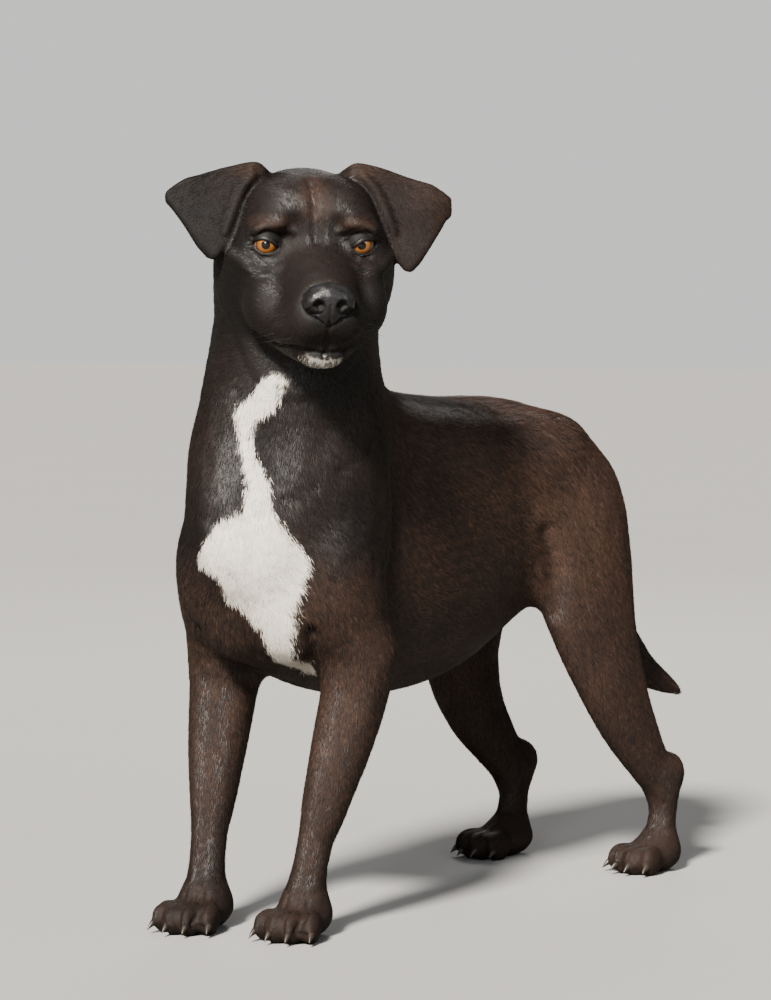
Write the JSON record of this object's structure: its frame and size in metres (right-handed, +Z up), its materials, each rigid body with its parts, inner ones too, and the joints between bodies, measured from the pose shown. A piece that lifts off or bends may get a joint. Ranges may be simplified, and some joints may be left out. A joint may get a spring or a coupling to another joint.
{
  "type": "dog",
  "caption": "Life-size still model of a standing short-haired dog with its head turned to its left, folded ears and a low tail.",
  "frame": {"origin": "on the floor under the middle of the dog's bounding box", "axes": "+Z up, -Y ahead of the dog, +X to the dog's left"},
  "size_m": [0.2924, 0.7534, 0.7219],
  "materials": {
    "coat": "short glossy black hair with white on chin, throat and chest",
    "eye": "wet amber iris with a dark pupil",
    "nose": "moist pebbled black leather"
  },
  "bodies": {
    "root": {"ear_left": "coat", "ear_right": "coat", "eye_left": "eye", "eye_right": "eye", "foreleg_left": "coat", "foreleg_right": "coat", "forepaw_left": "coat", "forepaw_right": "coat", "head": "coat", "hindleg_left": "coat", "hindleg_right": "coat", "hindpaw_left": "coat", "hindpaw_right": "coat", "neck": "coat", "nose": "nose", "tail": "coat", "trunk": "coat"}
  },
  "joints": []
}
